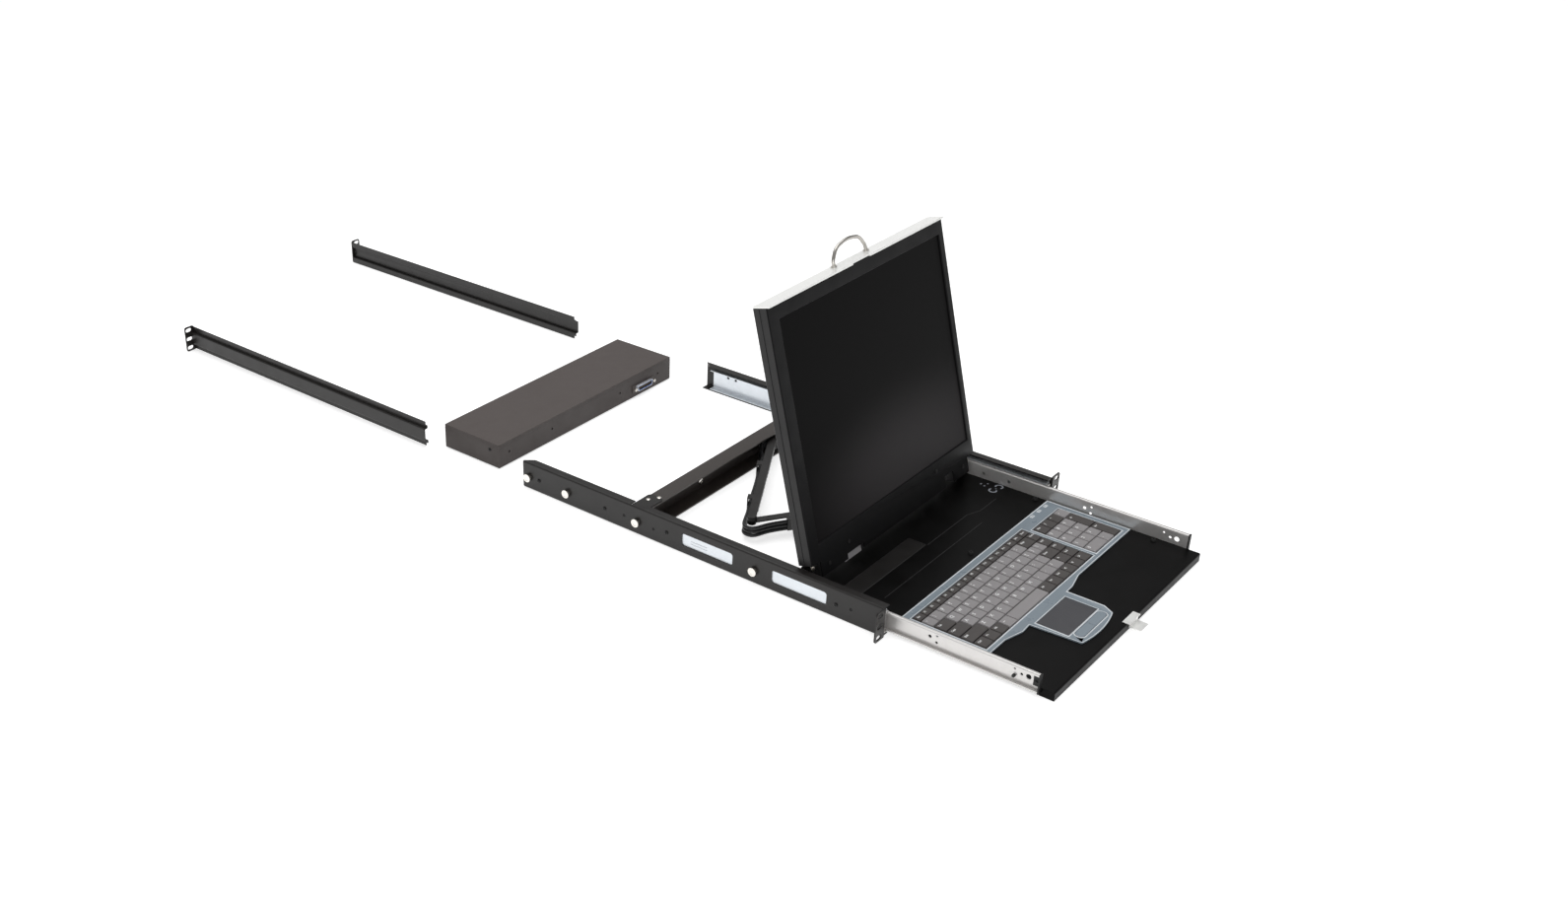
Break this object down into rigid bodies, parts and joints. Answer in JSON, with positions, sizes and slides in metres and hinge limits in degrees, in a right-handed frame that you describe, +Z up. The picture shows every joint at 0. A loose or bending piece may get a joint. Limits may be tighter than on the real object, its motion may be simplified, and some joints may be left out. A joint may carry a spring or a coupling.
{
  "type": "rackmount console drawer",
  "caption": "Sliding rack drawer with a keyboard, touchpad and fold-up screen between side rails, with telescopic rear rails, a folding cable arm and a rear switch module.",
  "frame": {"origin": "middle of the front ear slot pattern, in the plane of the front ears' front faces, half a rack unit above their lower edge", "axes": "+Y into the rack, +X to the right seen from the front, +Z up"},
  "size_m": [0.4826, 1.709, 0.4108],
  "materials": {
    "rail_black": "satin black powder coat",
    "zinc": "zinc-plated steel strip",
    "nickel": "nickel plated, satin",
    "screw_black": "blackened steel",
    "tray_black": "smooth satin black paint",
    "keyboard_silver": "silver-blue painted plastic",
    "key_grey": "matte grey key plastic",
    "key_dark": "matte dark key plastic",
    "plastic_black": "moulded black plastic",
    "pad": "fine matte",
    "lamp": "clear light pipe",
    "rubber": "soft black rubber",
    "front_silver": "satin anodised aluminium",
    "screen": "anti-glare screen, switched off",
    "cable": "black cable jacket",
    "module_black": "warm brown-black powder coat",
    "connector_blue": "blue connector insulator",
    "grey_plate": "grey sheet"
  },
  "bodies": {
    "chassis": {"side_rail_left": "rail_black", "side_rail_right": "rail_black", "guide_studs": "nickel", "chassis_screws": "screw_black", "slide_outer_left": "zinc", "slide_outer_right": "zinc", "rear_crossbar": "rail_black", "crossbar_brackets": "rail_black", "arm_base_bracket": "rail_black", "dock_connector": "plastic_black", "crossbar_lead_loops": "cable"},
    "middle_slide_left": {"slide_middle_left": "zinc"},
    "middle_slide_right": {"slide_middle_right": "zinc"},
    "drawer": {"drawer_tray": "tray_black", "slide_inner_left": "zinc", "slide_inner_right": "zinc", "slide_end_brackets": "screw_black", "lid_bumpers": "rubber", "keyboard_bezel": "keyboard_silver", "keyboard_base": "plastic_black", "key_plate": "plastic_black", "indicator_lamps": "lamp", "touchpad": "pad", "hinge_brackets": "rail_black", "arm_tray_bracket": "rail_black"},
    "function_row": {"function_keys": "key_dark"},
    "number_row": {"number_row_keys": "key_grey"},
    "upper_row": {"upper_row_keys": "key_grey"},
    "home_row": {"home_row_keys": "key_grey"},
    "lower_row": {"lower_row_keys": "key_grey"},
    "bottom_row": {"bottom_row_keys": "key_dark"},
    "space": {"space_bar": "key_grey"},
    "keypad": {"keypad_keys": "key_grey"},
    "pad_button_left": {"touchpad_button_left": "keyboard_silver"},
    "pad_button_right": {"touchpad_button_right": "keyboard_silver"},
    "catch": {"lid_catch": "front_silver"},
    "lid": {"lid_back_shell": "rail_black", "lid_middle_frame": "rail_black", "lcd_panel": "screen", "lid_front_bezel": "rail_black", "lid_front_panel": "front_silver", "pull_handle": "nickel", "lid_screws": "screw_black", "lid_lead_plate": "grey_plate", "hinge_pins": "nickel"},
    "arm_rear": {"arm_link_rear": "rail_black", "elbow_pin": "screw_black", "arm_leads_rear": "cable", "elbow_lead_loops": "cable"},
    "arm_front": {"arm_link_front": "rail_black", "arm_leads_front": "cable", "arm_cable_block": "plastic_black"},
    "rear_rail_left": {"rear_rail_left": "module_black"},
    "rear_rail_right": {"rear_rail_right": "module_black"},
    "switch_module": {"module_base": "module_black", "module_cover": "module_black", "connector_shell": "nickel", "connector_insert": "connector_blue", "module_screws": "nickel", "rear_ports": "plastic_black"}
  },
  "joints": [
    {"name": "drawer_slide", "type": "slide", "parent": "chassis", "child": "drawer", "axis": [0, 1, 0], "range_m": [-0.15, 0.224]},
    {"name": "middle_slide_left_run", "type": "slide", "parent": "chassis", "child": "middle_slide_left", "axis": [0, 1, 0], "range_m": [-0.076, 0.113]},
    {"name": "middle_slide_right_run", "type": "slide", "parent": "chassis", "child": "middle_slide_right", "axis": [0, 1, 0], "range_m": [-0.076, 0.113]},
    {"name": "lid_hinge", "type": "hinge", "parent": "drawer", "child": "lid", "pos_m": [0, 0.13354, 0.0122], "axis": [1, 0, 0], "range_deg": [-8, 105.02]},
    {"name": "arm_base", "type": "hinge", "parent": "chassis", "child": "arm_rear", "pos_m": [0.10195, 0.395, 0.01017], "axis": [0, 0, 1], "range_deg": [-29, 19.5], "deforming": ["crossbar_lead_loops"]},
    {"name": "arm_elbow", "type": "hinge", "parent": "arm_rear", "child": "arm_front", "pos_m": [-0.125, 0.2728, 0.00317], "axis": [0, 0, 1], "range_deg": [-43.5, 64], "deforming": ["elbow_lead_loops"]},
    {"name": "catch_release", "type": "slide", "parent": "drawer", "child": "catch", "axis": [0, -1, 0], "range_m": [0, 0.003], "stiffness_N_per_m": 400, "springref_m": -0.002},
    {"name": "left_button_press", "type": "slide", "parent": "drawer", "child": "pad_button_left", "axis": [0, 0, -1], "range_m": [0, 0.0012], "stiffness_N_per_m": 200},
    {"name": "right_button_press", "type": "slide", "parent": "drawer", "child": "pad_button_right", "axis": [0, 0, -1], "range_m": [0, 0.0012], "stiffness_N_per_m": 200},
    {"name": "rear_rail_left_run", "type": "slide", "parent": "chassis", "child": "rear_rail_left", "axis": [0, -1, 0], "range_m": [0, 0.577]},
    {"name": "rear_rail_right_run", "type": "slide", "parent": "chassis", "child": "rear_rail_right", "axis": [0, -1, 0], "range_m": [0, 0.666]},
    {"name": "module_dock", "type": "slide", "parent": "chassis", "child": "switch_module", "axis": [0, -1, 0], "range_m": [0, 0.2555]},
    {"name": "function_row_press", "type": "slide", "parent": "drawer", "child": "function_row", "axis": [0, 0, -1], "range_m": [0, 0.002], "stiffness_N_per_m": 200},
    {"name": "number_row_press", "type": "slide", "parent": "drawer", "child": "number_row", "axis": [0, 0, -1], "range_m": [0, 0.002], "stiffness_N_per_m": 200},
    {"name": "upper_row_press", "type": "slide", "parent": "drawer", "child": "upper_row", "axis": [0, 0, -1], "range_m": [0, 0.002], "stiffness_N_per_m": 200},
    {"name": "home_row_press", "type": "slide", "parent": "drawer", "child": "home_row", "axis": [0, 0, -1], "range_m": [0, 0.002], "stiffness_N_per_m": 200},
    {"name": "lower_row_press", "type": "slide", "parent": "drawer", "child": "lower_row", "axis": [0, 0, -1], "range_m": [0, 0.002], "stiffness_N_per_m": 200},
    {"name": "bottom_row_press", "type": "slide", "parent": "drawer", "child": "bottom_row", "axis": [0, 0, -1], "range_m": [0, 0.002], "stiffness_N_per_m": 200},
    {"name": "space_press", "type": "slide", "parent": "drawer", "child": "space", "axis": [0, 0, -1], "range_m": [0, 0.002], "stiffness_N_per_m": 200},
    {"name": "keypad_press", "type": "slide", "parent": "drawer", "child": "keypad", "axis": [0, 0, -1], "range_m": [0, 0.002], "stiffness_N_per_m": 200}
  ],
  "couplings": [
    {"joint": "middle_slide_left_run", "follows": "drawer_slide", "ratio": 0.5},
    {"joint": "middle_slide_right_run", "follows": "drawer_slide", "ratio": 0.5},
    {"joint": "arm_base", "follows": "drawer_slide", "rad_per_m": -2.205},
    {"joint": "arm_elbow", "follows": "drawer_slide", "rad_per_m": 4.8168}
  ]
}
